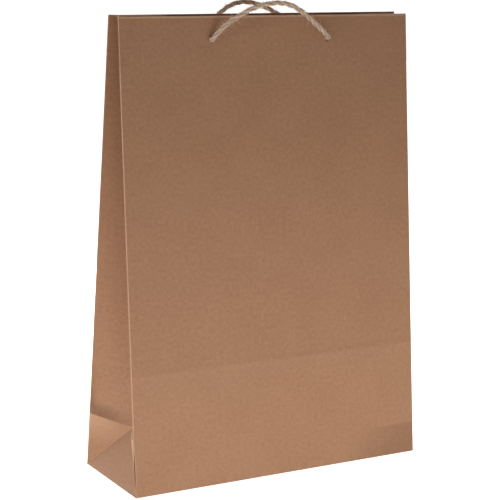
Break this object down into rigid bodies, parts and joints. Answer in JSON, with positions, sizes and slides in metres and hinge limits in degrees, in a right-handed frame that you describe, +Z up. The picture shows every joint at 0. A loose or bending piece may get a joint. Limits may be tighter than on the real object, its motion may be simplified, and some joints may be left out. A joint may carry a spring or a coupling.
{
  "type": "gift bag",
  "caption": "Tall gusseted kraft paper gift bag with twisted jute rope handles, flat folded base, turned-in top hem and tucked sides",
  "frame": {"origin": "centre of the underside of the folded base, on the surface that the bag stands on", "axes": "+X across the wide front panel, -Y out of the front panel, +Z up from the base to the mouth"},
  "size_m": [0.32, 0.112, 0.4622],
  "materials": {
    "kraft_paper": "uncoated brown kraft paper, finely mottled, matte",
    "kraft_paper_inside": "inner face of the same kraft paper, matte",
    "greyboard": "plain greyboard stiffener",
    "jute_cord": "natural three-ply twisted jute with loose fibres"
  },
  "bodies": {
    "base": {"back_base_flap": "kraft_paper", "front_base_flap": "kraft_paper", "left_base_flap": "kraft_paper_inside", "right_base_flap": "kraft_paper_inside", "base_board": "greyboard"},
    "front_wall": {"front_panel": "kraft_paper", "front_hem": "kraft_paper_inside", "front_handle_card": "greyboard", "front_left_knot": "jute_cord", "front_right_knot": "jute_cord", "side_seam_flap": "kraft_paper_inside"},
    "back_wall": {"back_panel": "kraft_paper", "back_hem": "kraft_paper_inside", "back_handle_card": "greyboard", "back_left_knot": "jute_cord", "back_right_knot": "jute_cord"},
    "left_front_gusset_lower": {"left_front_gusset_lower": "kraft_paper"},
    "left_front_gusset_middle": {"left_front_gusset_middle": "kraft_paper"},
    "left_front_gusset_upper": {"left_front_gusset_upper": "kraft_paper"},
    "right_front_gusset_lower": {"right_front_gusset_lower": "kraft_paper"},
    "right_front_gusset_middle": {"right_front_gusset_middle": "kraft_paper"},
    "right_front_gusset_upper": {"right_front_gusset_upper": "kraft_paper"},
    "right_back_gusset_lower": {"right_back_gusset_lower": "kraft_paper"},
    "right_back_gusset_middle": {"right_back_gusset_middle": "kraft_paper"},
    "right_back_gusset_upper": {"right_back_gusset_upper": "kraft_paper"},
    "left_back_gusset_lower": {"left_back_gusset_lower": "kraft_paper"},
    "left_back_gusset_middle": {"left_back_gusset_middle": "kraft_paper"},
    "left_back_gusset_upper": {"left_back_gusset_upper": "kraft_paper"},
    "left_base_tuck": {"left_base_tuck": "kraft_paper"},
    "right_base_tuck": {"right_base_tuck": "kraft_paper"},
    "front_handle": {"front_handle_cord": "jute_cord"},
    "back_handle": {"back_handle_cord": "jute_cord"}
  },
  "joints": [
    {"name": "mouth_open", "type": "hinge", "parent": "base", "child": "front_wall", "pos_m": [0, -0.056, 0], "axis": [1, 0, 0], "range_deg": [0, 5.74]},
    {"name": "back_wall_lean", "type": "hinge", "parent": "base", "child": "back_wall", "pos_m": [0, 0.056, 0], "axis": [-1, 0, 0], "range_deg": [0, 5.74]},
    {"name": "left_front_gusset_lower_fold", "type": "hinge", "parent": "front_wall", "child": "left_front_gusset_lower", "pos_m": [-0.16, -0.03241, 0.22376], "axis": [0, 0.1, 0.995], "range_deg": [0, 25.5]},
    {"name": "left_front_gusset_middle_fold", "type": "hinge", "parent": "left_front_gusset_lower", "child": "left_front_gusset_middle", "pos_m": [-0.16, -0.03241, 0.22376], "axis": [0, 0.1, 0.995], "range_deg": [0, 28.13]},
    {"name": "left_front_gusset_upper_fold", "type": "hinge", "parent": "left_front_gusset_middle", "child": "left_front_gusset_upper", "pos_m": [-0.16, -0.03241, 0.22376], "axis": [0, 0.1, 0.995], "range_deg": [0, 25.95]},
    {"name": "right_front_gusset_lower_fold", "type": "hinge", "parent": "front_wall", "child": "right_front_gusset_lower", "pos_m": [0.16, -0.03241, 0.22376], "axis": [0, -0.1, -0.995], "range_deg": [0, 25.5]},
    {"name": "right_front_gusset_middle_fold", "type": "hinge", "parent": "right_front_gusset_lower", "child": "right_front_gusset_middle", "pos_m": [0.16, -0.03241, 0.22376], "axis": [0, -0.1, -0.995], "range_deg": [0, 28.13]},
    {"name": "right_front_gusset_upper_fold", "type": "hinge", "parent": "right_front_gusset_middle", "child": "right_front_gusset_upper", "pos_m": [0.16, -0.03241, 0.22376], "axis": [0, -0.1, -0.995], "range_deg": [0, 25.95]},
    {"name": "right_back_gusset_lower_fold", "type": "hinge", "parent": "back_wall", "child": "right_back_gusset_lower", "pos_m": [0.16, 0.03241, 0.22376], "axis": [0, -0.1, 0.995], "range_deg": [0, 25.5]},
    {"name": "right_back_gusset_middle_fold", "type": "hinge", "parent": "right_back_gusset_lower", "child": "right_back_gusset_middle", "pos_m": [0.16, 0.03241, 0.22376], "axis": [0, -0.1, 0.995], "range_deg": [0, 28.13]},
    {"name": "right_back_gusset_upper_fold", "type": "hinge", "parent": "right_back_gusset_middle", "child": "right_back_gusset_upper", "pos_m": [0.16, 0.03241, 0.22376], "axis": [0, -0.1, 0.995], "range_deg": [0, 25.95]},
    {"name": "left_back_gusset_lower_fold", "type": "hinge", "parent": "back_wall", "child": "left_back_gusset_lower", "pos_m": [-0.16, 0.03241, 0.22376], "axis": [0, 0.1, -0.995], "range_deg": [0, 25.5]},
    {"name": "left_back_gusset_middle_fold", "type": "hinge", "parent": "left_back_gusset_lower", "child": "left_back_gusset_middle", "pos_m": [-0.16, 0.03241, 0.22376], "axis": [0, 0.1, -0.995], "range_deg": [0, 28.13]},
    {"name": "left_back_gusset_upper_fold", "type": "hinge", "parent": "left_back_gusset_middle", "child": "left_back_gusset_upper", "pos_m": [-0.16, 0.03241, 0.22376], "axis": [0, 0.1, -0.995], "range_deg": [0, 25.95]},
    {"name": "left_base_tuck_fold", "type": "hinge", "parent": "base", "child": "left_base_tuck", "pos_m": [-0.16, 0, 0], "axis": [0, -1, 0], "range_deg": [0, 25.25]},
    {"name": "right_base_tuck_fold", "type": "hinge", "parent": "base", "child": "right_base_tuck", "pos_m": [0.16, 0, 0], "axis": [0, 1, 0], "range_deg": [0, 25.25]},
    {"name": "front_handle_swing", "type": "hinge", "parent": "front_wall", "child": "front_handle", "pos_m": [0, -0.01581, 0.42541], "axis": [1, 0, 0], "range_deg": [-31.2, 144.3]},
    {"name": "back_handle_swing", "type": "hinge", "parent": "back_wall", "child": "back_handle", "pos_m": [0, 0.01581, 0.42541], "axis": [-1, 0, 0], "range_deg": [-38.2, 137.3]}
  ],
  "couplings": [
    {"joint": "back_wall_lean", "follows": "mouth_open", "ratio": 1},
    {"joint": "left_front_gusset_lower_fold", "follows": "mouth_open", "ratio": 4.4423},
    {"joint": "left_front_gusset_middle_fold", "follows": "mouth_open", "ratio": 4.8992},
    {"joint": "left_front_gusset_upper_fold", "follows": "mouth_open", "ratio": 4.5197},
    {"joint": "right_front_gusset_lower_fold", "follows": "mouth_open", "ratio": 4.4423},
    {"joint": "right_front_gusset_middle_fold", "follows": "mouth_open", "ratio": 4.8992},
    {"joint": "right_front_gusset_upper_fold", "follows": "mouth_open", "ratio": 4.5197},
    {"joint": "right_back_gusset_lower_fold", "follows": "mouth_open", "ratio": 4.4423},
    {"joint": "right_back_gusset_middle_fold", "follows": "mouth_open", "ratio": 4.8992},
    {"joint": "right_back_gusset_upper_fold", "follows": "mouth_open", "ratio": 4.5197},
    {"joint": "left_back_gusset_lower_fold", "follows": "mouth_open", "ratio": 4.4423},
    {"joint": "left_back_gusset_middle_fold", "follows": "mouth_open", "ratio": 4.8992},
    {"joint": "left_back_gusset_upper_fold", "follows": "mouth_open", "ratio": 4.5197},
    {"joint": "left_base_tuck_fold", "follows": "mouth_open", "ratio": 4.3977},
    {"joint": "right_base_tuck_fold", "follows": "mouth_open", "ratio": 4.3977}
  ]
}
